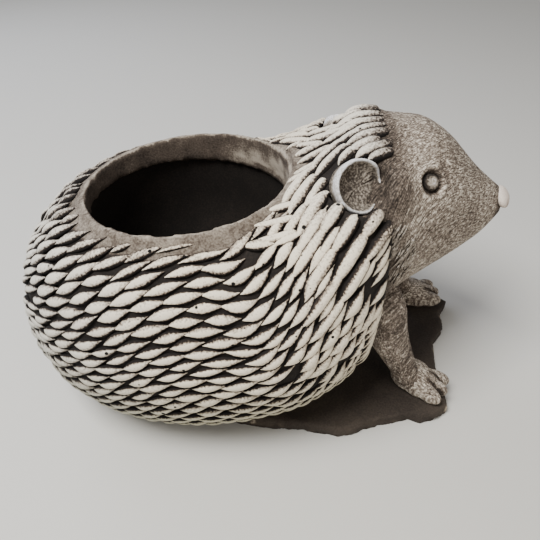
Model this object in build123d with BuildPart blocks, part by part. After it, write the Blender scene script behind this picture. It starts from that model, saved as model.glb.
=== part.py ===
from build123d import *
import math
import os

# Garden planter in the shape of a hedgehog, cast in concrete: a hollow body under a
# quilled coat, a short-furred face with round ears, and two forelegs that stand on a
# rough slab. Lengths are in millimetres. X runs forward to the nose, Y to the animal's
# left and Z up. The origin lies on the slab's underside, below the body. Each quill is
# a low pyramid on a diamond; the leaf shape of the real ones is left to the looks.

# Coat, the quilled body from the rump to its edge behind the face
coat_length = 305
coat_width = 272
animal_height = 260
coat_edge = 88
coat_fullness = 2.35

# Place along the coat, height of the middle, half width and half height
coat_shares = [
    (0.000, 0.385, 0.059, 0.062),
    (0.023, 0.385, 0.184, 0.181),
    (0.089, 0.385, 0.305, 0.296),
    (0.220, 0.388, 0.419, 0.396),
    (0.384, 0.400, 0.485, 0.446),
    (0.564, 0.408, 0.500, 0.454),
    (0.728, 0.427, 0.485, 0.427),
    (0.849, 0.477, 0.445, 0.446),
    (0.934, 0.542, 0.397, 0.446),
    (1.000, 0.588, 0.331, 0.412),
]

# Quills: rows up each side and half-quill steps along, in a diamond lattice, with how
# far their crowns and the valleys between them lie inside the coat's form
quill_rows = 40
quill_steps = 26
crown_inset = 1.2
valley_inset = 5
# Where along the coat the rows start to sweep upwards, and how much by row
sweep_start_share = 0.62
sweep_shares = [(0.0, 0.0), (0.2, 0.14), (0.4, 0.19), (0.6, 0.19), (0.8, 0.13), (1.0, 0.0)]

# Head with its neck, measured forward from the coat's edge
head_reach = 102
head_width = 134
head_fullness = 2.1
head_shares = [
    (-0.255, 0.581, 0.642, 0.359),
    (-0.029, 0.654, 0.575, 0.323),
    (0.167, 0.710, 0.500, 0.281),
    (0.363, 0.733, 0.433, 0.246),
    (0.559, 0.727, 0.336, 0.198),
    (0.735, 0.710, 0.231, 0.143),
    (0.902, 0.708, 0.142, 0.089),
    (1.000, 0.718, 0.082, 0.048),
]

# Chest below the throat, between the forelegs
chest_reach = 18
chest_width = 108
chest_shares = [
    (-0.9, 0.335, 0.50, 0.207),
    (0.0, 0.345, 0.46, 0.187),
    (0.7, 0.364, 0.34, 0.138),
    (1.0, 0.374, 0.16, 0.069),
]

# Pot opening, its collar and the hollow below
opening_length = 166
opening_width = 154
opening_setback = 68
rim_height = 208
rim_tilt = 5.5
lip_width = 9
lip_depth = 16
lip_rounding = 5
collar_depth = 26
floor_thickness = 30
# Place between floor and collar, and size against the opening
hollow_shares = [(0.00, 0.78), (0.20, 1.00), (0.48, 1.14), (0.78, 1.12), (1.00, 1.07)]

# Slab, its outline as shares of its length and width about the origin
slab_length = 353
slab_width = 211
slab_thickness = 12
slab_outline_shares = [
    (0.567, 0.303), (0.538, 0.227), (0.530, 0.109), (0.487, 0.019), (0.476, -0.104),
    (0.476, -0.332), (0.473, -0.379), (0.439, -0.417), (0.397, -0.436), (0.371, -0.417),
    (0.323, -0.436), (0.258, -0.464), (0.215, -0.493), (0.181, -0.507), (0.125, -0.488),
    (0.085, -0.474), (0.000, -0.464), (-0.127, -0.427), (-0.212, -0.379), (-0.312, -0.294),
    (-0.397, -0.209), (-0.425, 0.000), (-0.397, 0.209), (-0.297, 0.332), (-0.170, 0.417),
    (0.000, 0.464), (0.170, 0.493), (0.312, 0.483), (0.425, 0.450), (0.516, 0.389),
]

# Ears: round dishes set into a notch of the coat
ear_radius = 20
ear_lip = 5
ear_root = 14
ear_place = (65, 54, 233)
ear_facing = (0.30, 0.78, 0.55)
ear_notch_heading = (1, 0, -0.4)
ear_clearance = 2
ear_taper_share = 0.8
# Where the ear's rounded lip ends on the dish, and its crown, against the lip's width
lip_fall_share = 0.33
lip_crown_share = 0.67

# Eyes: domes seated in round sockets
eye_radius = 6.5
eye_socket_radius = 8.5
eye_place = (117, 48, 233)
eye_facing = (0.32, 0.79, 0.53)
eye_seat = 1

# Nose button on the end of the snout
nose_radius = 11
nose_depth = 10
nose_rounding = 8
nose_height = 188

# Forelegs: horizontal sections from shoulder to ankle
leg_radius = 24
shoulder_place = (80, 58, 150)
ankle_height = 24
ankle_back_share = 0.33
# Way forward and way down from shoulder to ankle, and radius
leg_shares = [
    (0.00, 0.00, 0.45),
    (0.08, 0.08, 0.86),
    (0.20, 0.25, 1.00),
    (0.40, 0.48, 0.82),
    (0.64, 0.70, 0.66),
    (0.84, 0.87, 0.56),
    (1.00, 1.00, 0.54),
]

# Paws with three toes each, as their centres and headings in degrees
paw_half_length = 25
paw_half_width = 17
paw_height = 30
toe_count = 3
toe_half_length = 12
toe_half_width = 7
toe_height = 15
toe_spread = 26
pebble_rounding_share = 0.75
paw_places = {"right": (140, -56, -30), "left": (160, 66, 6)}

section_points = 16
overrun = 60

coat_rear = coat_edge - coat_length


def rounded_section(x, middle, half_width, half_height, fullness):
    """Draw one upright cross-section, squarer than an ellipse as its fullness grows."""
    points = []
    for step in range(section_points):
        angle = 2 * math.pi * step / section_points - math.pi / 2
        across = math.copysign(abs(math.cos(angle)) ** (2 / fullness), math.cos(angle))
        up = math.copysign(abs(math.sin(angle)) ** (2 / fullness), math.sin(angle))
        points.append((half_width * across, half_height * up))
    with BuildSketch(Plane((x, 0, middle), x_dir=(0, 1, 0), z_dir=(1, 0, 0))) as section:
        with BuildLine():
            Spline(*points, periodic=True)
        make_face()
    return section.sketch


def body_sections(shares, start, reach, width, fullness):
    """Set cross-sections along X from a table of shares."""
    sections = []
    for along, middle, half_width, half_height in shares:
        sections.append(rounded_section(
            start + reach * along,
            animal_height * middle,
            width * half_width,
            animal_height * half_height,
            fullness,
        ))
    return sections


def pebble(centre, heading, half_length, half_width, height):
    """Make a rounded lump with a flat underside, its long axis along the heading."""
    with BuildPart(mode=Mode.PRIVATE) as solid:
        with BuildSketch(Plane(centre).rotated((0, 0, heading))):
            SlotOverall(2 * half_length, 2 * half_width)
        extrude(amount=height)
        fillet(solid.faces().sort_by(Axis.Z)[-1].edges(), half_width * pebble_rounding_share)
    return solid.part


def read_table(table, place, column):
    """Read one column at a place in the first column, straight between the rows."""
    for lower, upper in zip(table, table[1:]):
        if place <= upper[0]:
            part = (place - lower[0]) / (upper[0] - lower[0])
            return lower[column] + (upper[column] - lower[column]) * part
    return table[-1][column]


def quill_point(along, row, side, inset):
    """Find a point of the coat: along from rump to face, row from belly to spine."""
    sweep = min(max((along - sweep_start_share) / (1 - sweep_start_share), 0), 1)
    climb = row + read_table(sweep_shares, row, 1) * sweep**2 * (3 - 2 * sweep)
    angle = math.pi * (climb - 1 / 2)
    across = abs(math.cos(angle)) ** (2 / coat_fullness)
    up = math.copysign(abs(math.sin(angle)) ** (2 / coat_fullness), angle)
    half_width = coat_width * read_table(coat_shares, along, 2) - inset
    half_height = animal_height * read_table(coat_shares, along, 3) - inset
    middle = animal_height * read_table(coat_shares, along, 1)
    return (coat_rear + coat_length * along, side * half_width * across, middle + half_height * up)


def quill_ring(step):
    """Set one ring of points round the coat, every second one a quill's crown."""
    ring = []
    for side in sides.values():
        for count in range(quill_rows):
            row = (count + 1 / 2) / quill_rows
            raised = (count + step) % 2 == 0 and 0 < step < quill_steps
            inset = crown_inset if raised else valley_inset
            ring.append(quill_point(step / quill_steps, row if side < 0 else 1 - row, side, inset))
    return ring


def facet(*corners):
    return Face(Wire.make_polygon(corners, close=True))


def mirrored(place, side):
    """Give a place or direction on the left (1) or right (-1) side of the animal."""
    return (place[0], side * place[1], place[2])


def save(piece, label):
    piece.label = label
    export_step(piece, f"parts/{label}.step")


os.makedirs("parts", exist_ok=True)
sides = {"right": -1, "left": 1}

# Slab
with BuildPart() as slab:
    with BuildSketch():
        with BuildLine():
            Polyline(
                *[(slab_length * x, slab_width * y) for x, y in slab_outline_shares],
                close=True,
            )
        make_face()
    extrude(amount=slab_thickness)
save(slab.part, "base_slab")

# Outer form of the coat, before the opening is cut
with BuildPart() as coat_form:
    loft(sections=body_sections(coat_shares, coat_rear, coat_length, coat_width, coat_fullness))

# Quilled coat: two facets for each pair of neighbours, meeting in the valleys
rings = [quill_ring(step) for step in range(quill_steps + 1)]
facets = [facet(*rings[0]), facet(*rings[-1])]
for step in range(quill_steps):
    for count in range(2 * quill_rows):
        after = (count + 1) % (2 * quill_rows)
        this_rear, next_rear = rings[step][count], rings[step][after]
        next_front, this_front = rings[step + 1][after], rings[step + 1][count]
        if (count % quill_rows + step) % 2 == 0:
            facets.append(facet(this_rear, next_rear, this_front))
            facets.append(facet(next_rear, next_front, this_front))
        else:
            facets.append(facet(this_rear, next_rear, next_front))
            facets.append(facet(this_rear, next_front, this_front))
quilled_coat = Solid(Shell(facets))

# Pot: the quilled coat with its lip, hollow, foot and ear notches
rim_plane = Plane(
    (-opening_setback, 0, rim_height),
    x_dir=Vector(1, 0, 0).rotate(Axis.Y, -rim_tilt),
    z_dir=Vector(0, 0, 1).rotate(Axis.Y, -rim_tilt),
)
half_opening = (opening_length / 2, opening_width / 2)
lip_outline = (half_opening[0] + lip_width, half_opening[1] + lip_width)
floor_height = slab_thickness + floor_thickness
collar_height = rim_height - collar_depth
collar_reach = collar_depth + half_opening[0] * math.tan(math.radians(rim_tilt)) + lip_width

with BuildPart() as lip:
    with BuildSketch(rim_plane):
        Ellipse(*lip_outline)
    extrude(amount=-lip_depth)
    fillet(lip.faces().sort_by(Axis.Z)[-1].edges(), lip_rounding)

with BuildPart() as hollow:
    with BuildSketch(rim_plane.offset(-collar_reach)):
        Ellipse(*half_opening)
    extrude(amount=collar_reach + overrun)
    levels = []
    for rise, size in hollow_shares:
        height = floor_height + rise * (collar_height - floor_height)
        with BuildSketch(Plane((-opening_setback, 0, height))) as level:
            Ellipse(half_opening[0] * size, half_opening[1] * size)
        levels.append(level.sketch)
    loft(sections=levels)

ear_planes = {}
for side_name, side in sides.items():
    ear_planes[side_name] = Plane(
        mirrored(ear_place, side), x_dir=ear_notch_heading, z_dir=mirrored(ear_facing, side)
    )

with BuildPart() as rim_ring:
    add(lip.part)
    add(hollow.part, mode=Mode.SUBTRACT)

with BuildPart() as ear_notches:
    for ear_plane in ear_planes.values():
        with BuildSketch(ear_plane.offset(-ear_root)):
            Circle(ear_radius + ear_clearance)
            with Locations((ear_radius, 0)):
                Rectangle(2 * ear_radius, ear_radius)
        extrude(amount=ear_root + overrun)

with BuildPart() as pot_cuts:
    add(hollow.part)
    add(ear_notches.part)
    with BuildSketch(rim_plane):
        Ellipse(lip_outline[0] - lip_rounding, lip_outline[1] - lip_rounding)
    extrude(amount=overrun)
    with BuildSketch(Plane.XY.offset(slab_thickness)):
        Rectangle(4 * coat_length, 4 * coat_width)
    extrude(amount=-overrun)

with BuildPart() as pot_body:
    add(quilled_coat)
    add(pot_cuts.part, mode=Mode.SUBTRACT)
    add(rim_ring.part)
save(pot_body.part, "pot_body")

# The room that the coat takes, which its neighbours are cut to
with BuildPart() as coat_room:
    add(coat_form.part)
    add(ear_notches.part, mode=Mode.SUBTRACT)

# Blanks that cut the ears' tapered seats out of the head
ear_seats = {}
for side_name, ear_plane in ear_planes.items():
    with BuildPart() as ear_seat:
        with BuildSketch(ear_plane.offset(-ear_root)) as seat_floor:
            Circle(ear_radius * ear_taper_share)
        with BuildSketch(ear_plane) as seat_mouth:
            Circle(ear_radius)
        loft(sections=[seat_floor.sketch, seat_mouth.sketch])
        with BuildSketch(ear_plane):
            Circle(ear_radius)
        extrude(amount=overrun)
    ear_seats[side_name] = ear_seat.part

# Head with its eye sockets, behind them the neck that fills the ear notches
eye_centres = {}
with BuildPart() as head:
    loft(sections=body_sections(head_shares, coat_edge, head_reach, head_width, head_fullness))
    add(coat_room.part, mode=Mode.SUBTRACT)
    for side_name, side in sides.items():
        add(ear_seats[side_name], mode=Mode.SUBTRACT)
        with Locations(mirrored(eye_place, side)):
            Sphere(eye_socket_radius, mode=Mode.SUBTRACT)
        inward = Vector(mirrored(eye_facing, side)).normalized() * -1
        depth = eye_socket_radius - eye_radius + eye_seat
        eye_centres[side_name] = Vector(mirrored(eye_place, side)) + inward * depth
save(head.part, "head")

# Chest
with BuildPart() as chest:
    loft(sections=body_sections(
        chest_shares, coat_edge, chest_reach, chest_width, head_fullness
    ))
    add(coat_room.part, mode=Mode.SUBTRACT)
    add(head.part, mode=Mode.SUBTRACT)
save(chest.part, "chest")

# Eyes
for side_name, centre in eye_centres.items():
    with BuildPart() as eye:
        with Locations(Plane(centre, z_dir=mirrored(eye_facing, sides[side_name])).location):
            Sphere(eye_radius)
        add(head.part, mode=Mode.SUBTRACT)
    save(eye.part, f"{side_name}_eye")

# Nose, a domed button against the snout's flat end
snout_end = coat_edge + head_reach
with BuildPart() as nose:
    with BuildSketch(Plane((snout_end, 0, nose_height), z_dir=(1, 0, 0))):
        Circle(nose_radius)
    extrude(amount=nose_depth)
    fillet(nose.faces().sort_by(Axis.X)[-1].edges(), nose_rounding)
save(nose.part, "nose")

# Ears: a dish with a rounded lip on a tapering root
for side_name, ear_plane in ear_planes.items():
    profile_plane = Plane(ear_plane.origin, x_dir=ear_plane.x_dir, z_dir=-ear_plane.y_dir)
    with BuildPart() as ear:
        with BuildSketch(profile_plane):
            with BuildLine():
                lip_inner = (ear_radius - ear_lip, ear_lip * lip_fall_share)
                lip_top = (ear_radius - ear_lip * lip_fall_share, ear_lip * lip_crown_share)
                lip_outer = (ear_radius, 0)
                dish = Spline((0, -ear_lip), lip_inner, tangents=[(1, 0), (1, 1)])
                ThreePointArc(dish @ 1, lip_top, lip_outer)
                Line(lip_outer, (ear_radius * ear_taper_share, -ear_root))
                Line((ear_radius * ear_taper_share, -ear_root), (0, -ear_root))
                Line((0, -ear_root), dish @ 0)
            make_face()
        revolve(axis=Axis(ear_plane.origin, ear_plane.z_dir))
        add(coat_room.part, mode=Mode.SUBTRACT)
        add(head.part, mode=Mode.SUBTRACT)
    save(ear.part, f"{side_name}_ear")

# Paws and forelegs
for side_name, (paw_x, paw_y, heading) in paw_places.items():
    side = sides[side_name]
    with BuildPart() as paw:
        paw_centre = (paw_x, paw_y, slab_thickness)
        add(pebble(paw_centre, heading, paw_half_length, paw_half_width, paw_height))
        for toe in range(toe_count):
            turn = heading + toe_spread * (toe - (toe_count - 1) / 2)
            toe_centre = (
                paw_x + (paw_half_length - toe_half_length / 2) * math.cos(math.radians(turn)),
                paw_y + (paw_half_length - toe_half_length / 2) * math.sin(math.radians(turn)),
                slab_thickness,
            )
            add(pebble(toe_centre, turn, toe_half_length, toe_half_width, toe_height))
    save(paw.part, f"{side_name}_paw")

    shoulder = Vector(mirrored(shoulder_place, side))
    ankle = Vector(paw_x - paw_half_length * ankle_back_share, paw_y, ankle_height)
    leg_sections = []
    for forward, down, size in leg_shares:
        place = (
            shoulder.X + (ankle.X - shoulder.X) * forward,
            shoulder.Y + (ankle.Y - shoulder.Y) * forward,
            shoulder.Z + (ankle.Z - shoulder.Z) * down,
        )
        with BuildSketch(Plane(place)) as leg_section:
            Circle(leg_radius * size)
        leg_sections.append(leg_section.sketch)
    with BuildPart() as foreleg:
        loft(sections=leg_sections)
        for neighbour in (coat_room, head, chest, paw):
            add(neighbour.part, mode=Mode.SUBTRACT)
    save(foreleg.part, f"{side_name}_foreleg")
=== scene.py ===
# %% [markdown]
# # A hedgehog planter in cast concrete
# The real planter is one casting: a pot shaped as a hedgehog, standing on a thin slab. It
# was stained dark all over, and then a nearly dry pale brush was dragged across it, so
# that every raised quill and hair is pale and every hollow stays dark.
# That order, relief first and colour by height afterwards, is also how this scene works.
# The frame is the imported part. Each piece below takes the place of one of its solids, or
# lies on one as the relief that was carved there.

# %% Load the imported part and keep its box
import math
from collections import namedtuple
import bmesh
import bpy
import numpy as np
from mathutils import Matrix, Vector, noise
from mathutils.bvhtree import BVHTree


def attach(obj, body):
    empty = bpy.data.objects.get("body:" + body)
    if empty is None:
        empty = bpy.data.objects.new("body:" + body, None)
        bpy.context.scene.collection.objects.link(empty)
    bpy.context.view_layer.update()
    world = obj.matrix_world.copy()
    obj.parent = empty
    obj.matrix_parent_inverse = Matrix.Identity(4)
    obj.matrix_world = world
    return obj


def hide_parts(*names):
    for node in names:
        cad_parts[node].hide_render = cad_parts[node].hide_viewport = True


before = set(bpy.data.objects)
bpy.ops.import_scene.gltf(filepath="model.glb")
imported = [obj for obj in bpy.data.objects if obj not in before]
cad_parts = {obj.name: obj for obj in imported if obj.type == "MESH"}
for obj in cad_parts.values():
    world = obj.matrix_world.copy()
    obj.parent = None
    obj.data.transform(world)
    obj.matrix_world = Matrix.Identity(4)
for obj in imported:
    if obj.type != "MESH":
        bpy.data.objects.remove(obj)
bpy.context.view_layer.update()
print("nodes in the frame:", sorted(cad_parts))

# %% [markdown]
# ## Lengths, and turning tables into smooth lines
# The body is told by a few upright sections. A table gives each section's place, the
# height of its middle, its half width and its half height, in millimetres. A smooth line
# through each column gives the values between, as a modeller would fair clay over ribs.

# %% A smooth line through a column of stations
MM = 0.001


def through(places, values, where):
    """Value at where of a smooth line through the stations."""
    places = np.asarray(places, float)
    values = np.asarray(values, float)
    where = np.clip(where, places[0], places[-1])
    slopes = np.gradient(values, places)
    left = np.clip(np.searchsorted(places, where) - 1, 0, len(places) - 2)
    step = places[left + 1] - places[left]
    t = (where - places[left]) / step
    start, end = values[left], values[left + 1]
    lift = start * (2 * t**3 - 3 * t**2 + 1) + end * (3 * t**2 - 2 * t**3)
    return lift + step * (slopes[left] * (t**3 - 2 * t**2 + t) + slopes[left + 1] * (t**3 - t**2))


def ease(t):
    """Go smoothly from 0 to 1."""
    t = np.clip(t, 0, 1)
    return t * t * (3 - 2 * t)


def bell(distance, reach):
    """A rounded swelling: 1 at no distance, fading away past its reach."""
    return np.exp(-((distance / reach) ** 2))


def sections_at(table, where):
    """Height of the middle, half width and half height of a body's sections there."""
    return [through(table[:, 0], table[:, k], where) for k in (1, 2, 3)]


print("a quarter along, ease gives", round(float(ease(0.25)), 2))


# %% The coat's sections, as a smooth envelope over the tops of its quills
COAT = np.array([
    (-217, 100, 16, 16), (-210, 100, 50, 47), (-190, 100, 83, 77), (-150, 101, 114, 103),
    (-100, 104, 132, 116), (-45, 106, 136, 118), (5, 111, 132, 111), (42, 124, 121, 116),
    (68, 141, 108, 116), (88, 153, 90, 107),
], float)
COAT_FULLNESS = 2.35
COAT_FRONT = 88
QUILL_RISE = 4.0

turns = np.linspace(-math.pi / 2, math.pi / 2, 2001)
outline_y = np.abs(np.cos(turns)) ** (2 / COAT_FULLNESS)
outline_z = np.sign(turns) * np.abs(np.sin(turns)) ** (2 / COAT_FULLNESS)
run = np.concatenate([[0], np.cumsum(np.hypot(np.diff(outline_y), np.diff(outline_z)))])
run /= run[-1]


def coat_point(x, climb, side):
    """Point on the coat's envelope: climb goes from 0 under the belly to 1 on the spine."""
    middle, wide, tall = sections_at(COAT, x)
    y = side * wide * np.interp(climb, run, outline_y)
    z = middle + tall * np.interp(climb, run, outline_z)
    return np.stack([x + 0 * y, y, z], axis=-1)


def coat_normal(x, climb, side):
    """Outward direction of the envelope at the same place."""
    reach, turn = 1.0, 0.004
    along = coat_point(x + reach, climb, side) - coat_point(x - reach, climb, side)
    up = coat_point(x, climb + turn, side) - coat_point(x, climb - turn, side)
    out = np.cross(along, up) * -side
    return out / np.maximum(np.linalg.norm(out, axis=-1, keepdims=True), 1e-9)


print("coat runs from", COAT[0, 0], "to", COAT_FRONT, "mm")

# %% [markdown]
# ## From numbers to a mesh
# Nearly every piece starts as rows of points that are joined into faces. These helpers
# turn such rows, or any list of points and faces, into an object that sits at the origin
# with smooth shading, which is what the frame asks of a finished piece.

# %% Make an object from points and faces
def make_object(name, points_mm, faces, material=None):
    """Make a mesh object with its place in its mesh."""
    mesh = bpy.data.meshes.new(name)
    mesh.from_pydata((np.asarray(points_mm) * MM).tolist(), [], faces)
    mesh.validate()
    mesh.polygons.foreach_set("use_smooth", [True] * len(mesh.polygons))
    thing = bpy.data.objects.new(name, mesh)
    bpy.context.scene.collection.objects.link(thing)
    if material:
        mesh.materials.append(material)
    return thing


def ring_faces(rows, around):
    """Faces between closed rings of points, with a cap at either end."""
    faces = []
    for row in range(rows - 1):
        for k in range(around):
            a, b = row * around + k, row * around + (k + 1) % around
            faces.append((a, b, b + around, a + around))
    faces.append(tuple(range(around))[::-1])
    faces.append(tuple((rows - 1) * around + k for k in range(around)))
    return faces


def face_out(thing):
    """Merge doubled points and point every face outwards."""
    shell = bmesh.new()
    shell.from_mesh(thing.data)
    bmesh.ops.remove_doubles(shell, verts=shell.verts, dist=0.02 * MM)
    bmesh.ops.recalc_face_normals(shell, faces=shell.faces)
    shell.to_mesh(thing.data)
    shell.free()


def points_of(thing):
    """The mesh's points in millimetres."""
    flat = np.empty(len(thing.data.vertices) * 3)
    thing.data.vertices.foreach_get("co", flat)
    return flat.reshape(-1, 3) / MM


def normals_of(thing):
    flat = np.empty(len(thing.data.vertices) * 3)
    thing.data.vertex_normals.foreach_get("vector", flat)
    return flat.reshape(-1, 3)


def move_points(thing, points_mm):
    thing.data.vertices.foreach_set("co", (points_mm * MM).ravel())
    thing.data.update()


def store(thing, name, values, kind="FLOAT"):
    """Keep a number or a vector at every point, for the material to read."""
    layer = thing.data.attributes.new(name, kind, "POINT")
    key = "value" if kind == "FLOAT" else "vector"
    layer.data.foreach_set(key, np.asarray(values, float).ravel())


def noise_at(points, size):
    """Smooth noise from about -1 to 1, its lumps about size millimetres across."""
    return np.array([noise.noise(Vector(p)) for p in (points / size).tolist()])


def triangles(thing):
    return sum(len(face.vertices) - 2 for face in thing.data.polygons)


# %% [markdown]
# ## Finishes
# All of it is one concrete, in six finishes. Cast concrete is dull, with a roughness
# near 0.9. The stain sits in the hollows, and the dry brush leaves broken, speckled
# edges, because the bristles skip over the sand grains. Every material reads "proud", a
# number kept in the mesh that says how far a point stands out of its surroundings.
# Inside the pot it also carries painted light, and at the neck and under the nose painted shade.

# %% Colour and node helpers
def hex_colour(code, alpha=1.0):
    """Turn an sRGB hex colour into the linear one that Blender wants."""
    channels = [int(code[k:k + 2], 16) / 255 for k in (1, 3, 5)]
    linear = [c / 12.92 if c <= 0.04045 else ((c + 0.055) / 1.055) ** 2.4 for c in channels]
    return (*linear, alpha)


def add_node(tree, kind, links=None, **settings):
    """Add a node: links maps an input to a socket or a value, settings are its options."""
    node = tree.nodes.new(kind)
    for key, value in settings.items():
        setattr(node, key, value)
    for key, value in (links or {}).items():
        if isinstance(value, bpy.types.NodeSocket):
            tree.links.new(value, node.inputs[key])
        else:
            node.inputs[key].default_value = value
    return node


def grains(size_mm):
    """Texture scale whose lumps are about this many millimetres across."""
    return 1000.0 / size_mm


print("half bright as shown is", round(hex_colour("#808080")[0], 2), "in linear light")


# %% The brushed and stained concrete
PATCH_MM, PATCH_SHARE = 30, 0.35
GRIT_MM, GRIT_RELIEF_MM = 1.1, 0.8
HAIR_SIZE_MM = (3.6, 1.0)


def stained_concrete(name, colours, stops, speckle=0.5, fur=0.0, holes=0.0, tint=None,
                     grit_depth=0.35):
    """Cast concrete: colours from hollow to high spot at the stops of the brush's reach."""
    material = bpy.data.materials.new(name)
    material.use_nodes = True
    tree = material.node_tree
    tree.nodes.clear()
    place = add_node(tree, "ShaderNodeTexCoord").outputs["Object"]
    proud = add_node(tree, "ShaderNodeAttribute", attribute_name="proud").outputs["Fac"]
    # Sand grains are about 1 mm, too fine to show, so the speckle is drawn at 1.6 mm
    sand = add_node(tree, "ShaderNodeTexNoise",
                    {"Vector": place, "Scale": grains(1.6), "Detail": 3.0}).outputs["Fac"]
    patch = add_node(tree, "ShaderNodeTexNoise",
                     {"Vector": place, "Scale": grains(PATCH_MM), "Detail": 4.0}).outputs["Fac"]
    reach = add_node(tree, "ShaderNodeMath",
                     {0: sand, 1: speckle, 2: proud}, operation="MULTIPLY_ADD").outputs[0]
    reach = add_node(tree, "ShaderNodeMath",
                     {0: patch, 1: PATCH_SHARE, 2: reach}, operation="MULTIPLY_ADD").outputs[0]
    # Noise has its middle at one half, which is taken off so that proud sets the level
    reach = add_node(tree, "ShaderNodeMath",
                     {0: reach, 1: 0.5 * speckle + 0.5 * PATCH_SHARE},
                     operation="SUBTRACT").outputs[0]
    relief = add_node(tree, "ShaderNodeTexNoise",
                      {"Vector": place, "Scale": grains(GRIT_MM), "Detail": 4.0}).outputs["Fac"]
    if fur:
        flow = add_node(tree, "ShaderNodeAttribute", attribute_name="flow").outputs["Vector"]
        # Hairs are drawn 1 mm wide and 3.6 mm long, along the flow that the mesh carries
        hairs = add_node(tree, "ShaderNodeMapping",
                         {"Vector": flow, "Scale": (*map(grains, HAIR_SIZE_MM), 0)})
        hair = add_node(tree, "ShaderNodeTexNoise",
                        {"Vector": hairs.outputs[0], "Scale": 1.0, "Detail": 2.0}).outputs["Fac"]
        reach = add_node(tree, "ShaderNodeMath",
                         {0: hair, 1: fur, 2: reach}, operation="MULTIPLY_ADD").outputs[0]
        reach = add_node(tree, "ShaderNodeMath",
                         {0: reach, 1: 0.5 * fur}, operation="SUBTRACT").outputs[0]
        relief = add_node(tree, "ShaderNodeMath",
                          {0: hair, 1: 2.0, 2: relief}, operation="MULTIPLY_ADD").outputs[0]
    ramp = add_node(tree, "ShaderNodeValToRGB", {"Fac": reach})
    while len(ramp.color_ramp.elements) < len(colours):
        ramp.color_ramp.elements.new(0.5)
    for element, stop, colour in zip(ramp.color_ramp.elements, stops, colours):
        element.position = stop
        element.color = hex_colour(colour)
    colour = ramp.outputs["Color"]
    # Painted cool light on the rump and the top, and a darker, greener low part
    if tint:
        colour = paint_cool_light_and_low_tint(tree, place, colour, tint)
    # Every cell has a fine pinhole, and in about half of them it is larger
    if holes:
        cells = add_node(tree, "ShaderNodeTexVoronoi", {"Vector": place, "Scale": grains(holes)})
        rare = add_node(tree, "ShaderNodeSeparateColor", {0: cells.outputs["Color"]}).outputs[0]
        size = add_node(tree, "ShaderNodeMapRange",
                        {0: rare, 1: 0.45, 2: 1.0, 3: 0.04, 4: 0.15}).outputs[0]
        hole = add_node(tree, "ShaderNodeMath",
                        {0: cells.outputs["Distance"], 1: size}, operation="LESS_THAN").outputs[0]
        colour = add_node(tree, "ShaderNodeMix", {"Factor": hole, "A": colour,
                          "B": hex_colour("#14110f")}, data_type="RGBA").outputs["Result"]
        relief = add_node(tree, "ShaderNodeMath",
                          {0: hole, 1: -3.0, 2: relief}, operation="MULTIPLY_ADD").outputs[0]
    bump = add_node(tree, "ShaderNodeBump", {"Height": relief, "Strength": grit_depth,
                    "Distance": GRIT_RELIEF_MM * MM}).outputs["Normal"]
    skin = add_node(tree, "ShaderNodeBsdfPrincipled",
                    {"Base Color": colour, "Normal": bump, "Roughness": 0.9,
                     "Specular IOR Level": 0.3})
    add_node(tree, "ShaderNodeOutputMaterial", {"Surface": skin.outputs[0]})
    return material


def paint_cool_light_and_low_tint(tree, place, colour, tint):
    """Painted cool light on the rump and top, and a darker, greener colour near the ground."""
    axes = add_node(tree, "ShaderNodeSeparateXYZ", {0: place})
    # Inputs 1 and 2 are the places where a tint begins and is full, 3 and 4 its amounts
    rump = add_node(tree, "ShaderNodeMapRange",
                    {0: axes.outputs["X"], 1: -60 * MM, 2: -200 * MM, 3: 0.0, 4: 0.75}).outputs[0]
    low = add_node(tree, "ShaderNodeMapRange",
                   {0: axes.outputs["Z"], 1: 125 * MM, 2: 30 * MM, 3: 0.0, 4: 0.85}).outputs[0]
    high = add_node(tree, "ShaderNodeMapRange",
                    {0: axes.outputs["Z"], 1: 205 * MM, 2: 255 * MM, 3: 0.0, 4: 0.5}).outputs[0]
    # The cool tint on the rump and the top is painted cool light; the low tint makes the colour
    # darker and greener
    for amount, hue in ((rump, tint[0]), (high, tint[0]), (low, tint[1])):
        colour = add_node(tree, "ShaderNodeMix",
                          {"Factor": amount, "A": colour, "B": hex_colour(hue)},
                          data_type="RGBA", blend_type="MULTIPLY").outputs["Result"]
    return colour


# %% The finishes of this planter
# Quills: broken cream on the ridges over umber, with a pinhole here and there
coat_finish = stained_concrete(
    "coat_concrete_brushed", ["#1c1715", "#463b33", "#aa9c8c", "#f4e8d2"],
    # The first tint is painted cool light, the second darkens and greens the low part
    [0.20, 0.42, 0.58, 0.90], speckle=1.15, holes=12, tint=("#cdd8ea", "#9da598"))
# Skin, rim and hollow: the bare stain, worn to buff along the rim
skin_finish = stained_concrete(
    "coat_concrete_stained", ["#1b1715", "#2e2723", "#5b5047", "#a79c8e"],
    # The first tint is painted cool light, the second darkens and greens the low part
    [0.1, 0.35, 0.6, 0.9], speckle=0.5, tint=("#e4e8ee", "#c8cbc4"))
# Face, chest, legs and paws: brown, with the brush caught by the carved hairs alone
face_finish = stained_concrete(
    "face_concrete_brushed", ["#2a241f", "#5c5148", "#8f8377", "#eae0d0"],
    [0.08, 0.38, 0.60, 0.90], speckle=1.0, fur=1.15, grit_depth=0.7)
# Ears, eyes and tufts: the same stain under a cooler, whiter brush
ear_finish = stained_concrete(
    "ear_concrete_brushed", ["#1f1b18", "#4c443d", "#a69c8f", "#dfdfe2"],
    [0.1, 0.35, 0.62, 0.88], speckle=0.9, grit_depth=0.5)
# Nose: rubbed nearly bare, so warm and pale, with fine holes
nose_finish = stained_concrete(
    "nose_concrete_rubbed", ["#2b2421", "#8f7f75", "#cdbdb1", "#e4d8cd"],
    [0.05, 0.25, 0.5, 0.8], speckle=0.4, holes=7)
# Slab: dark and smooth, pale only where its edge has crumbled
slab_finish = stained_concrete(
    "slab_concrete_stained", ["#201c19", "#3a332e", "#51483f", "#b9ac99"],
    [0.05, 0.3, 0.6, 0.95], speckle=0.45, grit_depth=0.3)
print("finishes:", [m.name for m in bpy.data.materials])

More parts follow.
